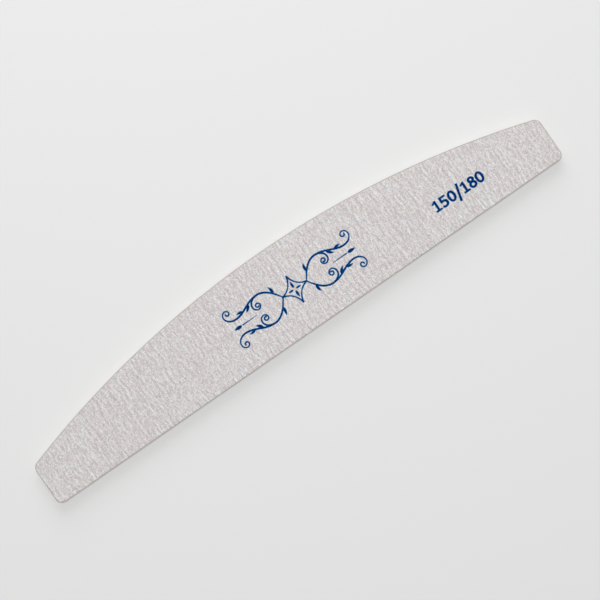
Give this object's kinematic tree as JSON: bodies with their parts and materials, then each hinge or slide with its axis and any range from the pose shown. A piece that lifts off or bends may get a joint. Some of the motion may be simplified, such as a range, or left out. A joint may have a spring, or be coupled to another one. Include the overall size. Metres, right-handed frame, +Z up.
{
  "type": "nail file",
  "caption": "Half-moon cushioned nail file: light grey abrasive coat on each face, paper, tape and foam around a stiff core, die-cut to one outline.",
  "frame": {"origin": "below the middle of the half-moon outline, on the surface that the file lies on", "axes": "+X along the file, in the reading direction of its figures; +Y across it, from the straight edge to the arc; +Z up through the layers, out of the 150 grit face"},
  "size_m": [0.18, 0.0278, 0.004],
  "materials": {
    "grit_150": "matte",
    "grit_180": "matte",
    "backing_paper": "matte",
    "tape_film": "satin",
    "foam": "matte",
    "core_plastic": "satin",
    "print_ink": "satin"
  },
  "bodies": {
    "root": {"grit_coat_150": "grit_150", "backing_paper_150": "backing_paper", "sheet_tape_150": "tape_film", "foam_pad_150": "foam", "core_tape_150": "tape_film", "core_board": "core_plastic", "core_tape_180": "tape_film", "foam_pad_180": "foam", "sheet_tape_180": "tape_film", "backing_paper_180": "backing_paper", "grit_coat_180": "grit_180"}
  },
  "joints": []
}
